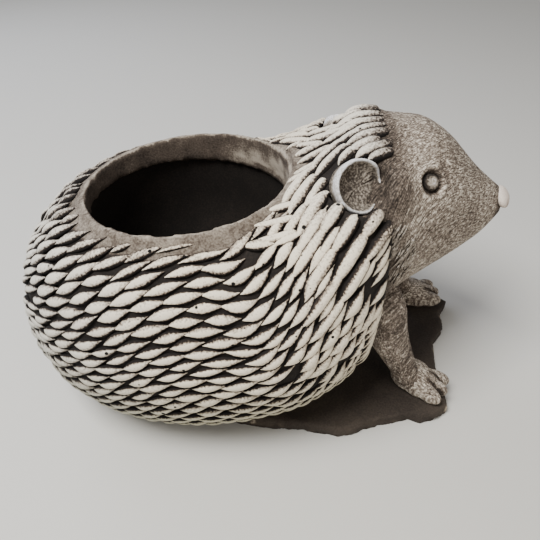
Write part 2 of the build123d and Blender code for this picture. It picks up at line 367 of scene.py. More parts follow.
# %% [markdown]
# ## The pot: skin, rim and hollow
# Under the quills lies a plain stained skin. Its rim was smoothed by hand when the mould
# was made, and the hollow was trowelled roughly. The skin is the CAD pot, remeshed into
# even faces so that it can be pushed about: to 5 mm inside the quills' envelope, in and
# out by noise inside the hollow, and inwards beside each ear, which has its own bed.

# %% Remesh the CAD pot
OPENING_AT = -68
LIP = (92, 86)


def rim_distance(points):
    """Millimetres outside the lip's outline, negative within the opening."""
    x = (points[..., 0] - OPENING_AT) / LIP[0]
    y = points[..., 1] / LIP[1]
    return (np.hypot(x, y) - 1) * (LIP[0] + LIP[1]) / 2


def remeshed(name, node, voxel_mm, material):
    """Copy a CAD node as even quads."""
    thing = bpy.data.objects.new(name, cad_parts[node].data.copy())
    bpy.context.scene.collection.objects.link(thing)
    face_out(thing)
    modifier = thing.modifiers.new("even faces", "REMESH")
    modifier.mode = "VOXEL"
    modifier.voxel_size = voxel_mm * MM
    return plain_mesh(thing, material)


def plain_mesh(thing, material=None):
    """Swap a thing with modifiers for its finished mesh."""
    graph = bpy.context.evaluated_depsgraph_get()
    mesh = bpy.data.meshes.new_from_object(
        thing.evaluated_get(graph), preserve_all_data_layers=True, depsgraph=graph)
    thing.modifiers.clear()
    thing.data = mesh
    mesh.name = thing.name
    mesh.polygons.foreach_set("use_smooth", [True] * len(mesh.polygons))
    if material:
        mesh.materials.clear()
        mesh.materials.append(material)
    return thing


pot = remeshed("coat_skin", "pot_body", voxel_mm=2.6, material=skin_finish)
print("skin:", triangles(pot), "triangles")

# %% The ears' place, which the coat and the head leave room for
EAR_PLACE = (65, 54, 233)
EAR_FACING = np.array((0.30, 0.78, 0.55)) / np.linalg.norm((0.30, 0.78, 0.55))


def folded(points):
    """The points, with those on the right side mirrored to the left."""
    return np.stack([points[..., 0], np.abs(points[..., 1]), points[..., 2]], axis=-1)


def ear_distance(points):
    """Distance from the axis of the ear on each point's own side."""
    away = folded(points) - EAR_PLACE
    return np.linalg.norm(away - (away @ EAR_FACING)[..., None] * EAR_FACING, axis=-1)


# %% Push the skin in under the quills and roughen the hollow
SKIN_INSET = 5.0
SLAB_TOP = 12.0
LIP_FOOT = 190
HOLLOW_TOP = 212
EAR_BED_DEPTH = 13
CHIP_DEPTH = 0.96

points = points_of(pot)
across, height = np.abs(points[:, 1]), points[:, 2]
middle, wide, tall = sections_at(COAT, points[:, 0])


def section_share(inset):
    """How far out each point lies in its section: 1 on the form this far inside."""
    return ((across / (wide - inset)) ** COAT_FULLNESS
            + (np.abs(height - middle) / (tall - inset)) ** COAT_FULLNESS
            ) ** (1 / COAT_FULLNESS)


from_rim = rim_distance(points)
beside_rim = ease((from_rim + 9) / 16)
under_quills = ease((section_share(0) - 0.93) / 0.04) * beside_rim
draw_in = 1 + under_quills * (1 / np.maximum(section_share(SKIN_INSET), 0.5) - 1)
by_ear = ease((33 - ear_distance(points)) / 7) * ease((points[:, 0] - 68) / 8)
by_ear *= height > LIP_FOOT
inside = (from_rim < -4) & (height < HOLLOW_TOP)
trowel = noise_at(points * (1, 1, 2.2), 38) * 2.6 + noise_at(points * (0.6, 0.6, 1.5), 10) * 1.3
trowel *= ease((-9 - from_rim) / 8)
on_lip = ease((from_rim + 12) / 4) * ease((6 - from_rim) / 4) * (height > LIP_FOOT)
chips = CHIP_DEPTH * np.maximum(0, noise_at(points, 7)) * on_lip
shift = np.where(inside, trowel, 0) - chips - EAR_BED_DEPTH * by_ear
pushed = points.copy()
pushed[:, 1] *= draw_in
pushed[:, 2] = middle + (height - middle) * draw_in
pushed += normals_of(pot) * shift[:, None]
print("rim points:", int((on_lip > 0.5).sum()))

# %% Sink the lip to the quills' roots, say where the brush reached, and paint light into the hollow
crown = middle + tall * np.maximum(0, 1 - (across / wide) ** COAT_FULLNESS
                                   ) ** (1 / COAT_FULLNESS)
lip_ring = (from_rim > -10) & (from_rim < 12) & (height > 185)
lowered = crown - QUILL_RISE * beside_rim + 0.5
pushed[:, 2] = np.where(lip_ring, np.minimum(pushed[:, 2], lowered), pushed[:, 2])
pushed[:, 2] = np.maximum(pushed[:, 2], SLAB_TOP)
move_points(pot, pushed)
band = ease((from_rim + 10) / 2) * ease((10 - from_rim) / 6) * (height > 185)
edge_worn = bell(from_rim + 7.5, 1.8) * (height > LIP_FOOT)
# Inside the hollow the colour is lifted, a little more on the upper wall and most in the depth:
# painted light
upper_wall_painted_light = ease((from_rim + 30) / 20) * ease((height - 165) / 30) * inside
hollow_painted_light = 0.44 + 0.08 * upper_wall_painted_light + 0.3 * ease((170 - height) / 20)
proud = np.where(inside, hollow_painted_light + 0.12 * noise_at(points, 12), 0.16)
proud = np.maximum(proud, band * (0.7 + 0.12 * noise_at(points, 5)))
proud = np.maximum(proud, edge_worn * (0.95 + 0.35 * noise_at(points, 9)))
store(pot, "proud", proud)
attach(pot, "root")
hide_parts("pot_body")
print("lip lowered at", int((lip_ring & (pushed[:, 2] >= lowered - 1e-6)).sum()), "points")

# %% [markdown]
# ## The quills
# The carver laid leaf-shaped quills in rows, each row half a quill behind the last, so
# they lock into a diamond lattice. Rows run level along the flank. In front of the
# opening they sweep up over the shoulder, and the top ones turn level again on the hood.
# Here each row is a line on the coat's surface, and a short spine is cut from it for each
# quill. Where the rows crowd together only every second one carries quills, twice as
# broad. A quill is left out where it would lie over one that is already laid, and short
# gaps are filled at random, as a carver would. Each is tilted a little, and a rosette of
# short quills closes the coat at the rump.

# %% Rows of quills as lines on the coat
ROWS = 43
FRONT_ROWS = 0.80
ROW_MARKS = (0.0, 0.2, 0.4, 0.6, FRONT_ROWS)
SWEPT_CLIMBS = (0.0, 0.31, 0.55, 0.78, 1.0)
SWEEP_ENDS = (170, 170, 130, 88, 52)
RUMP_SAG = 0.12
LANE_SHARE = 0.4
ZERO_AT = -60
Row = namedtuple("Row", "number share side x climb points out lane gone")


def row_climb(x, share):
    """How high up the coat a row is at x: level at the back, swept up at the front."""
    level = share - RUMP_SAG * math.sin(math.pi * share) * ease((-40 - x) / 160)
    if share > FRONT_ROWS:
        return level
    rise = through(ROW_MARKS, SWEPT_CLIMBS, share) - share
    start = 25 - 70 * (share / FRONT_ROWS) ** 2
    finish = through(ROW_MARKS, SWEEP_ENDS, share)
    sweep = ease((x - start) / (finish - start)) / ease((COAT_FRONT - start) / (finish - start))
    return level + rise * sweep


def row_line(share, side, number=0):
    """A row's points and outward directions, its lane's breadth, and the length gone."""
    x = np.linspace(-215, COAT_FRONT, 420)
    climb = row_climb(x, share)
    points = coat_point(x, climb, side)
    out = coat_normal(x, climb, side)
    points = points - out * QUILL_RISE
    step = LANE_SHARE / ROWS
    lane = (coat_point(x, row_climb(x, min(share + step, 1)), side)
            - coat_point(x, row_climb(x, share - step), side))
    forward = np.gradient(points, axis=0)
    forward /= np.linalg.norm(forward, axis=1, keepdims=True)
    lane -= forward * np.sum(lane * forward, axis=1, keepdims=True)
    breadth = np.linalg.norm(lane, axis=1) / (2 * LANE_SHARE)
    gone = np.concatenate([[0], np.cumsum(np.linalg.norm(np.diff(points, axis=0), axis=1))])
    gone -= np.interp(ZERO_AT, x, gone)
    return Row(number, share, side, x, climb, points, out, breadth, gone)


rows = [row_line((number + 0.5) / ROWS, side, number)
        for side in (-1, 1) for number in range(ROWS)]
print("rows:", len(rows), "lane at mid flank:", round(float(rows[20].lane[210]), 1), "mm")

# %% Spines, and where one must stop
SPINE_POINTS = 9
MIDDLE = SPINE_POINTS // 2
EAR_ROOM = 19
RIM_OVERHANG = 6.5
taper = np.linspace(-1, 1, SPINE_POINTS)


def spine_on(row, at):
    """Points and outward directions of a row at these lengths along it."""
    spine = np.stack([np.interp(at, row.gone, row.points[:, k]) for k in range(3)], axis=1)
    up = np.stack([np.interp(at, row.gone, row.out[:, k]) for k in range(3)], axis=1)
    return spine, up / np.linalg.norm(up, axis=1, keepdims=True)


def trimmed(spine, up):
    """Cut a spine short at the ear and the opening, and say what share of it is left."""
    free = (ear_distance(spine) > EAR_ROOM) | (spine[:, 2] < 200)
    free &= rim_distance(spine) > -RIM_OVERHANG
    if free.all():
        return spine, up, 1.0
    if not free.any():
        return spine, up, 0.0
    first, final = np.flatnonzero(free)[[0, -1]]
    if not free[first:final + 1].all():
        blocked = np.flatnonzero(~free)
        if final - blocked[-1] > blocked[0] - first:
            first = blocked[-1] + 1
        else:
            final = blocked[0] - 1
    stops = np.arange(len(spine))
    part = np.linspace(first, final, len(spine))
    spine = np.stack([np.interp(part, stops, spine[:, k]) for k in range(3)], axis=1)
    up = np.stack([np.interp(part, stops, up[:, k]) for k in range(3)], axis=1)
    return spine, up, (final - first) / (len(spine) - 1)


def crowded(middle, heading, reach, breadth, laid, room=0.9):
    """Whether a quill there would lie over one of those laid, told by the same numbers."""
    if not laid:
        return False
    middles, reaches, breadths = (np.array(column) for column in zip(*laid))
    away = middles - middle
    along = np.abs(away @ heading)
    across = np.sqrt(np.maximum(0, np.sum(away**2, axis=1) - along**2))
    apart = along / (0.9 * (reaches + reach)) + across / (breadths + breadth)
    return bool(np.any(apart < room))


print("a spine has", SPINE_POINTS, "points")

# %% Mark a place for each quill
QUILL_PITCH = 27.0
FILLER_STEP = 5.0
NARROW_LANE = 7.6
HOOD_CLIMB = 0.69
HOOD_DEPTH = 84

dice = np.random.default_rng(12)
quills = []
for row in rows:
    on_hood = row.climb[-1] > HOOD_CLIMB and row.share <= FRONT_ROWS
    last = row.gone[-1] - (HOOD_DEPTH if on_hood else 0)
    marks = np.arange(math.ceil(row.gone[0] / QUILL_PITCH), last // QUILL_PITCH + 2)
    level = (marks + (row.number % 2) / 2) * QUILL_PITCH
    level = level[(np.interp(level, row.gone, row.lane) >= NARROW_LANE - 1)
                  & (level < last + QUILL_PITCH / 2)]
    steep = last + (0.1 - np.arange(9) - (row.number // 2 % 2) / 2) * QUILL_PITCH
    steep = steep[(np.interp(steep, row.gone, row.lane) < NARROW_LANE) & (row.number % 2 == 0)]
    for centre, lanes in [(c, 1) for c in level] + [(c, 2) for c in steep]:
        quills.append((row, centre + dice.normal(0, 1.0), lanes))

# The front ones come first, because the eye falls on them
quills.sort(key=lambda quill: float(np.interp(quill[1], quill[0].gone, quill[0].x)), reverse=True)
fillers = [(row, centre, 1) for row in rows
           for centre in np.arange(row.gone[0], row.gone[-1] - 4, FILLER_STEP)]
dice.shuffle(fillers)
print("places:", len(quills), "and to fill gaps:", len(fillers))

# %% Lay the quills
QUILL_LENGTH = 30.0
BREADTH_SHARE = 0.57
LEAST_BREADTH, MOST_BREADTH = 4.2, 6.2
LEAST_KEPT = 0.6

spines, laid = [], []
for number, (row, centre, lanes) in enumerate(quills + fillers):
    filler = number >= len(quills)
    if filler and row.climb[-1] > HOOD_CLIMB and row.number / ROWS < FRONT_ROWS:
        if centre > row.gone[-1] - HOOD_DEPTH + 8:
            continue
    breadth = float(np.interp(centre, row.gone, row.lane)) * BREADTH_SHARE * lanes
    breadth = min(max(breadth, LEAST_BREADTH), MOST_BREADTH) * dice.uniform(0.88, 1.08)
    reach = QUILL_LENGTH / 2 * dice.uniform(0.86, 1.1)
    spine, up = spine_on(row, centre + reach * taper)
    # Beside the rim the quills are longer and narrower
    by_rim = 1 - ease((float(rim_distance(spine[MIDDLE])) - 4) / 30)
    breadth *= 1 - 0.22 * by_rim
    reach *= 1 + 0.3 * by_rim
    centre = min(centre, row.gone[-1] - reach * 0.8)
    spine, up = spine_on(row, centre + reach * taper)
    tilt = math.radians(dice.normal(4, 3.5)) * reach
    across = np.cross(up[MIDDLE], spine[-1] - spine[0]) * -row.side
    spine = spine + np.outer(taper, across / np.linalg.norm(across) * tilt)
    place = spine[MIDDLE]
    if row.number / ROWS > FRONT_ROWS and place[0] > OPENING_AT:
        continue
    clear = float(rim_distance(spine).min())
    spine, up, kept = trimmed(spine, up)
    if place[2] < SLAB_TOP + 2 or kept < LEAST_KEPT:
        continue
    reach *= kept
    heading = spine[-1] - spine[0]
    heading /= np.linalg.norm(heading)
    if crowded(spine[MIDDLE], heading, reach, breadth, laid, room=0.97 if filler else 0.9):
        continue
    laid.append((spine[MIDDLE], reach, breadth))
    fade = float(ease((clear + 9) / 24)) * 0.6 + 0.4
    melt = 0.3 + 0.7 * ease((rim_distance(spine) + 8) / 16)
    spines.append((spine, up, breadth * melt, fade))
print("quills:", len(spines))

# %% Close the coat at the rump
# Each ring: quills, start and end of their reach, turn by, lean outwards, breadth
for count, near, far, turn_by, lean, breadth in (
        (6, 1.0, 17.0, 0, 0, 4.6), (13, 13.0, 37.0, 0.5, 0.3, 5.6)):
    for number in range(count):
        angle = 2 * math.pi * (number + turn_by) / count + dice.normal(0, 0.04)
        reach = (near + far) / 2 + (far - near) / 2 * taper
        ray = np.array((0, math.cos(angle), math.sin(angle)))
        back = np.interp(reach, (0, 16, 48, 80), COAT[[0, 0, 1, 2], 0]) + 1
        up = np.tile(ray * lean - (1, 0, 0), (SPINE_POINTS, 1))
        up /= np.linalg.norm(up, axis=1, keepdims=True)
        spine = np.outer(reach, ray) + np.outer(back, (1, 0, 0)) + (0, 0, COAT[0, 1])
        spines.append((spine, up, breadth, 1.0))
print("quills with the rosette:", len(spines))

# %% [markdown]
# ## One tree for quills, strands and tufts
# Input is a mesh of loose polylines. The tree makes each a curve, gives it the breadth
# that the mesh carries, sweeps a low-sided circle along it, and then flattens the result
# along the outward direction. It keeps how squarely each point faces outwards as "ridge",
# from which "proud" is made, so the brush colour lands on the ridges. Sizes are inputs,
# and the random part has a seed.

# %% Build the tree
def relief_tree(name):
    """Geometry Nodes: spines to tapered raised bodies."""
    tree = bpy.data.node_groups.new(name, "GeometryNodeTree")
    face = tree.interface
    face.new_socket("Geometry", in_out="INPUT", socket_type="NodeSocketGeometry")
    sides = face.new_socket("Sides", in_out="INPUT", socket_type="NodeSocketInt")
    rise = face.new_socket("Rise Share", in_out="INPUT", socket_type="NodeSocketFloat")
    uneven = face.new_socket("Unevenness", in_out="INPUT", socket_type="NodeSocketFloat")
    seed = face.new_socket("Seed", in_out="INPUT", socket_type="NodeSocketInt")
    finish = face.new_socket("Finish", in_out="INPUT", socket_type="NodeSocketMaterial")
    face.new_socket("Geometry", in_out="OUTPUT", socket_type="NodeSocketGeometry")
    given = add_node(tree, "NodeGroupInput").outputs
    breadth = add_node(tree, "GeometryNodeInputNamedAttribute", {"Name": "breadth"},
                       data_type="FLOAT").outputs["Attribute"]
    curves = add_node(tree, "GeometryNodeMeshToCurve", {"Mesh": given["Geometry"]}).outputs[0]
    which = add_node(tree, "GeometryNodeFieldOnDomain",
                     {0: add_node(tree, "GeometryNodeInputIndex").outputs[0]},
                     domain="CURVE", data_type="INT").outputs[0]
    least = add_node(tree, "ShaderNodeMath", {0: 1.0, 1: given["Unevenness"]},
                     operation="SUBTRACT").outputs[0]
    most = add_node(tree, "ShaderNodeMath", {0: 1.0, 1: given["Unevenness"]},
                    operation="ADD").outputs[0]
    chance = add_node(tree, "FunctionNodeRandomValue",
                      {"Min": least, "Max": most, "ID": which, "Seed": given["Seed"]},
                      data_type="FLOAT").outputs["Value"]
    size = add_node(tree, "ShaderNodeMath", {0: breadth, 1: chance},
                    operation="MULTIPLY").outputs[0]
    curves = add_node(tree, "GeometryNodeSetCurveRadius",
                      {"Curve": curves, "Radius": size}).outputs[0]
    here = add_node(tree, "GeometryNodeInputPosition").outputs[0]
    curves = add_node(tree, "GeometryNodeStoreNamedAttribute",
                      {"Geometry": curves, "Name": "spine", "Value": here},
                      data_type="FLOAT_VECTOR", domain="POINT").outputs[0]
    circle = add_node(tree, "GeometryNodeCurvePrimitiveCircle",
                      {"Resolution": given["Sides"], "Radius": 1.0}).outputs[0]
    body = add_node(tree, "GeometryNodeCurveToMesh",
                    {"Curve": curves, "Profile Curve": circle, "Fill Caps": True})
    # Where the sweep has an input of its own for size, it reads the curve's radius there
    if "Scale" in body.inputs:
        radius = add_node(tree, "GeometryNodeInputRadius").outputs[0]
        tree.links.new(radius, body.inputs["Scale"])
    spine = add_node(tree, "GeometryNodeInputNamedAttribute", {"Name": "spine"},
                     data_type="FLOAT_VECTOR").outputs["Attribute"]
    outward = add_node(tree, "GeometryNodeInputNamedAttribute", {"Name": "outward"},
                       data_type="FLOAT_VECTOR").outputs["Attribute"]
    off = add_node(tree, "ShaderNodeVectorMath", {0: here, 1: spine},
                   operation="SUBTRACT").outputs[0]
    height = add_node(tree, "ShaderNodeVectorMath", {0: off, 1: outward},
                      operation="DOT_PRODUCT").outputs["Value"]
    local = add_node(tree, "ShaderNodeVectorMath", {0: off}, operation="LENGTH").outputs["Value"]
    ridge = add_node(tree, "ShaderNodeMath", {0: height, 1: local}, operation="DIVIDE").outputs[0]
    raised = add_node(tree, "GeometryNodeStoreNamedAttribute",
                      {"Geometry": body.outputs[0], "Name": "ridge", "Value": ridge},
                      data_type="FLOAT", domain="POINT").outputs[0]
    lower = add_node(tree, "ShaderNodeMath", {0: given["Rise Share"], 1: 1.0},
                     operation="SUBTRACT").outputs[0]
    press = add_node(tree, "ShaderNodeMath", {0: height, 1: lower},
                     operation="MULTIPLY").outputs[0]
    push = add_node(tree, "ShaderNodeVectorMath", {0: outward, "Scale": press},
                    operation="SCALE").outputs[0]
    body = add_node(tree, "GeometryNodeSetPosition",
                    {"Geometry": raised, "Offset": push}).outputs[0]
    body = add_node(tree, "GeometryNodeSetShadeSmooth", {0: body}).outputs[0]
    body = add_node(tree, "GeometryNodeRealizeInstances", {0: body}).outputs[0]
    body = add_node(tree, "GeometryNodeSetMaterial",
                    {"Geometry": body, "Material": given["Finish"]}).outputs[0]
    add_node(tree, "NodeGroupOutput", {"Geometry": body})
    names = {"sides": sides, "rise": rise, "uneven": uneven, "seed": seed, "finish": finish}
    return tree, {key: socket.identifier for key, socket in names.items()}


RELIEF, RELIEF_INPUTS = relief_tree("raised_relief")
print("nodes in the tree:", len(RELIEF.nodes))


def raise_spines(name, spines, profile, material, sides=8, rise=0.8, uneven=0.06, seed=3):
    """Run the tree over a list of (spine, up, breadth, fade) and keep the plain mesh."""
    points, edges, breadth, outward, fades, alongs = [], [], [], [], [], []
    for spine, up, wide, fade in spines:
        start = len(points)
        points.extend(spine.tolist())
        outward.extend(up.tolist())
        breadth.extend((np.asarray(profile) * wide * MM).tolist())
        fades.extend([fade] * len(spine))
        alongs.extend(np.linspace(0, 1, len(spine)).tolist())
        edges.extend((start + k, start + k + 1) for k in range(len(spine) - 1))
    mesh = bpy.data.meshes.new(name)
    mesh.from_pydata((np.array(points) * MM).tolist(), edges, [])
    thing = bpy.data.objects.new(name, mesh)
    bpy.context.scene.collection.objects.link(thing)
    store(thing, "breadth", breadth)
    store(thing, "fade", fades)
    store(thing, "along", alongs)
    store(thing, "outward", outward, "FLOAT_VECTOR")
    modifier = thing.modifiers.new("relief", "NODES")
    modifier.node_group = RELIEF
    wanted = {"sides": sides, "rise": rise, "uneven": uneven, "seed": seed, "finish": material}
    for key, value in wanted.items():
        modifier[RELIEF_INPUTS[key]] = value
    plain_mesh(thing, material)
    return thing


def attribute_of(thing, name, wide=1):
    layer = thing.data.attributes[name]
    flat = np.empty(len(layer.data) * wide)
    layer.data.foreach_get("value" if wide == 1 else "vector", flat)
    return flat if wide == 1 else flat.reshape(-1, wide)


# %% Raise the quills
leaf = np.maximum(0.04, (1 - np.abs(taper + 0.1 * (1 - taper**2)) ** 1.9) ** 1.15)
quill_body = raise_spines("coat_quills", spines, leaf, coat_finish, sides=10, rise=0.78)


def brushed(thing, start, width, root_fade):
    """How much brush colour a point takes: most on the ridge, less towards the root."""
    ridge, along = attribute_of(thing, "ridge"), attribute_of(thing, "along")
    on_ridge = ease((ridge - start) / width)
    return on_ridge * (1 - root_fade * ease((along - 0.55) / 0.45))


proud = brushed(quill_body, start=0.42, width=0.48, root_fade=0.42)
store(quill_body, "proud", proud * (0.45 + 0.55 * attribute_of(quill_body, "fade")))
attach(quill_body, "root")
print("quills:", triangles(quill_body), "triangles")

# %% [markdown]
# ## The hood's strands
# From the opening's front to the face the quills grow into long strands that lie side by
# side, bend over the brow and stop in blunt ends on one line. They use the same rows and
# the same tree, cut longer and with a rounder end. What the rows leave bare is filled with
# shorter strands, in a random order, wherever one has room.

# %% Lay the rows' own strands
STRAND_LENGTH = 40
STRAND_POINTS = 15
OVER_BROW = 1.0
strand_taper = np.linspace(-1, 1, STRAND_POINTS)
strands, laid = [], []


def lay_strand(spine, up, middle, breadth, room=0.9):
    """Keep a strand, unless it would lie over one that is already laid."""
    heading = spine[-1] - spine[0]
    reach = float(np.linalg.norm(heading)) / 2
    if not crowded(middle, heading / (2 * reach), reach, breadth, laid, room):
        strands.append((spine, up, breadth, 1.0))
        laid.append((middle, reach, breadth))


for row in sorted(rows, key=lambda row: row.number % 2):
    if row.climb[-1] <= HOOD_CLIMB or row.share > FRONT_ROWS:
        continue
    front = row.gone[-1]
    end = front + OVER_BROW
    shorter = 0.4 * 14 * (row.number // 2 % 2)
    while end > front - HOOD_DEPTH - 6:
        length = STRAND_LENGTH * dice.uniform(0.9, 1.1) - shorter
        centre = end - length / 2
        at = np.minimum(centre + length / 2 * strand_taper, front + OVER_BROW)
        spine, up = spine_on(row, at)
        spine += np.outer(np.maximum(0, at - front), (1, 0, 0))
        middle = spine[STRAND_POINTS // 2]
        breadth = float(np.interp(centre, row.gone, row.lane))
        breadth = min(max(breadth, 3.4), 5.4) * dice.uniform(0.9, 1.04)
        spine, up, kept = trimmed(spine, up)
        if kept > 0.4:
            lay_strand(spine, up, middle, breadth)
        end -= length * 0.86
        shorter = 0
print("strands on the rows:", len(strands))

# %% Fill between them, and raise them all
fill_rows = {side: [row_line(share, side) for share in np.linspace(0.62, 0.985, 24)]
             for side in (-1, 1)}
fill = [(row, back) for side in (-1, 1) for back in range(12) for row in fill_rows[side]]
dice.shuffle(fill)
for row, back in fill:
    front = row.gone[-1]
    at = np.minimum(front - 15 - 7.5 * back + 16 * strand_taper, front + OVER_BROW)
    spine, up, kept = trimmed(*spine_on(row, at))
    breadth = dice.uniform(3.6, 4.6)
    if kept > 0.5:
        lay_strand(spine, up, spine[STRAND_POINTS // 2], breadth, room=0.94)
tip = np.minimum(1, (1 - np.clip(strand_taper, 0, 1) ** 5) ** 0.5)
root = (1 - np.clip(-strand_taper, 0, 1) ** 2.4) ** 0.8
strand_body = raise_spines("hood_strands", strands, np.maximum(0.06, tip * root), coat_finish,
                           sides=8, rise=0.95, seed=5)
at_face = ease((points_of(strand_body)[:, 0] - 62) / 26)
proud = brushed(strand_body, start=0.35, width=0.5, root_fade=0.1)
store(strand_body, "proud", proud * (0.95 - 0.45 * at_face))
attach(strand_body, "root")
print("strands:", len(strands), triangles(strand_body), "triangles")

# %% [markdown]
# ## The head
# The face is a smooth cone from the neck to the snout, covered in short carved fur that
# flows back from the nose and down the cheeks. The eye lies in a ring-shaped groove
# under a hollow brow, and the cheek swells round the ear's root. The mesh is a fine grid
# of rings, moved in and out by those features, and each point keeps its place along and
# across the flow of the fur.

# %% Rings of the head
HEAD = np.array([
    (62, 151, 87, 95), (85, 170, 80, 86.5), (105, 184.6, 68, 73), (125, 190.6, 58, 64),
    (145, 189, 45, 51.5), (163, 184.6, 31, 37), (180, 184, 19, 23), (190, 186.7, 11, 12.5),
], float)
HEAD_FULLNESS = 2.1
HEAD_RINGS, HEAD_AROUND = 118, 340
x = np.linspace(HEAD[0, 0], HEAD[-1, 0], HEAD_RINGS)
turn = np.linspace(-math.pi / 2, 1.5 * math.pi, HEAD_AROUND, endpoint=False)
middle, wide, tall = (column[:, None] for column in sections_at(HEAD, x))
across = np.sign(np.cos(turn)) * np.abs(np.cos(turn)) ** (2 / HEAD_FULLNESS)
up = np.sign(np.sin(turn)) * np.abs(np.sin(turn)) ** (2 / HEAD_FULLNESS)
grid = np.stack([x[:, None] + 0 * across, wide * across, middle + tall * up], axis=-1)
flat = grid.reshape(-1, 3)
head = make_object("head_cast", flat, ring_faces(HEAD_RINGS, HEAD_AROUND), face_finish)
head_normals = normals_of(head)
if np.sum(head_normals[:, 1] * flat[:, 1]) < 0:
    head.data.flip_normals()
    head_normals = -head_normals
print("head:", triangles(head), "triangles")

# %% The fur's flow and its carved hairs
HAIR_LENGTH, HAIR_WIDTH, HAIR_DEPTH = 7.0, 2.2, 0.42
around = np.tile(turn, HEAD_RINGS)
side_share = ease((0.85 - np.sin(around)) / 0.8)
arc = (np.pi / 2 - np.abs((around % (2 * np.pi)) - np.pi / 2)
       ) * np.repeat((wide[:, 0] + tall[:, 0]) / 2, HEAD_AROUND)
drop = 0.011 * np.maximum(0, 150 - flat[:, 0]) ** 2 * side_share
flow = np.stack([flat[:, 0] * 1.2, arc + drop, 0 * arc], axis=1)
hair = noise_at(flow / (HAIR_LENGTH, HAIR_WIDTH, 1), 1.0)
smooth_muzzle = ease((178 - flat[:, 0]) / 45)
low_jaw = ease((flat[:, 2] - 120) / 50)
fur_height = HAIR_DEPTH * (0.25 + 0.75 * smooth_muzzle) * (0.5 + 0.5 * low_jaw)
print("hair stands", round(float((hair * fur_height).max()), 2), "mm out at most")

# %% Eye hollow, brow, and the ear's bed and root
EYE_PLACE = np.array((117.4, 48.5, 233.0))
BROW_FROM_EYE = (9, -5, 5)
EAR_ROOT = (90, 56, 231)
mirrored = folded(flat)
from_eye = np.linalg.norm(mirrored - EYE_PLACE, axis=1)
socket = -3.8 * ease((10.0 - from_eye) / 2.2)
lid = 1.3 * bell(from_eye - 11.8, 1.7)
brow = -2.4 * bell(np.linalg.norm(mirrored - (EYE_PLACE + BROW_FROM_EYE), axis=1), 7.0)
off_ear = ear_distance(flat)
ear_bed = -9.0 * ease((21.5 - off_ear) / 4) * ease((flat[:, 2] - 190) / 10)
ear_bed *= ease((27 - np.linalg.norm(mirrored - EAR_PLACE, axis=1)) / 4)
ear_root = 9.0 * bell(np.linalg.norm(mirrored - EAR_ROOT, axis=1), 16)
ear_root *= ease((off_ear - 15) / 5)
shift = socket + lid + brow + ear_bed + ear_root + hair * fur_height
shift += noise_at(flat, 26) * 0.8
move_points(head, flat + head_normals * shift[:, None])
proud = 0.56 + 0.22 * hair * smooth_muzzle + 0.1 * lid - 0.12 * np.abs(socket + brow)
# Towards the neck, under the hood, the head is darkened as painted shade; it is also darker at the
# tip of the snout
proud -= 0.35 * ease((104 - flat[:, 0]) / 22) + 0.3 * ease((flat[:, 0] - 183) / 5)
store(head, "proud", proud)
store(head, "flow", flow * MM, "FLOAT_VECTOR")
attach(head, "root")
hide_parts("head")
print("deepest hollow:", round(float(shift.min()), 1), "mm")

# %% [markdown]
# ## Eyes and nose
# The eye is a low dome seated in its groove, rubbed pale at its centre. The nose is a
# button of bare, pinkish concrete with two nostrils pressed into its underside.

# %% A rounded lump, and the eyes' domes
EYE_FACING = np.array((0.32, 0.79, 0.53))
EYE_RADII = (6.4, 6.4, 5.2)
EYE_DEPTH = 3.0


def lump(name, centre, facing, radii, material, change, around=48, rings=24):
    """A rounded lump on a direction, its points changed by a function of its unit place."""
    z_axis = Vector(facing).normalized()
    x_axis = Vector((0, 0, 1)).cross(z_axis).normalized()
    y_axis = z_axis.cross(x_axis)
    tilt = np.linspace(0.02, math.pi - 0.02, rings)
    spin = np.linspace(0, 2 * math.pi, around, endpoint=False)
    unit = np.stack([np.outer(np.sin(tilt), np.cos(spin)), np.outer(np.sin(tilt), np.sin(spin)),
                     np.outer(np.cos(tilt), np.ones(around))], axis=-1).reshape(-1, 3)
    basis = np.array([tuple(x_axis), tuple(y_axis), tuple(z_axis)])
    points = change(unit, unit * radii) @ basis + centre
    thing = make_object(name, points, ring_faces(rings, around), material)
    face_out(thing)
    return thing


def dome(unit, shaped):
    """A dome that is a little uneven, most so at its middle."""
    ring = np.linalg.norm(unit[:, :2], axis=1)
    return shaped * (1 + 0.03 * noise_at(unit * 3, 1.0)[:, None] * (1 - ring[:, None]))


for side_name, side in (("right", -1), ("left", 1)):
    facing = EYE_FACING * (1, side, 1)
    centre = EYE_PLACE * (1, side, 1) - facing * EYE_DEPTH
    eye = lump(f"{side_name}_eye_dome", centre, facing, EYE_RADII, ear_finish, dome)
    store(eye, "proud", 0.1 + 0.6 * ease((points_of(eye) - centre) @ facing / 4.8 - 0.3))
    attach(eye, "root")
    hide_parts(f"{side_name}_eye")
print("an eye is", 2 * EYE_RADII[0], "mm across")

# %% The nose
NOSE = np.array((192.5, -3.5, 192.5))
NOSE_FACING = (0.76, -0.26, 0.6)
NOSE_RADII = (11.5, 9, 5.2)


def button(unit, shaped):
    """Squarish button with two nostrils low on its front."""
    for side in (-1, 1):
        pit = np.linalg.norm(unit - np.array((0.42 * side, -0.62, 0.62)), axis=1)
        shaped = shaped * (1 - 0.35 * bell(pit, 0.28))[:, None]
    return shaped


nose = lump("nose_button", NOSE, NOSE_FACING, NOSE_RADII, nose_finish, button)
# The nose is darkened towards its underside as painted shade
below = NOSE[2] - points_of(nose)[:, 2]
store(nose, "proud", 0.75 - 0.9 * ease((below - 2) / 7))
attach(nose, "root")
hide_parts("nose")
print("the nose is", 2 * NOSE_RADII[0], "mm across")

# %% [markdown]
# ## Ears
# Each ear is a round dish with a rolled rim. Inside, the carver cut soft grooves that run
# to the middle. The rim is turned as rings round the ear's axis, and sinks away on the
# side that grows out of the cheek. The photograph shows nothing of the far ear, so that
# one is a little smaller and stands deeper, where the hood hides it.

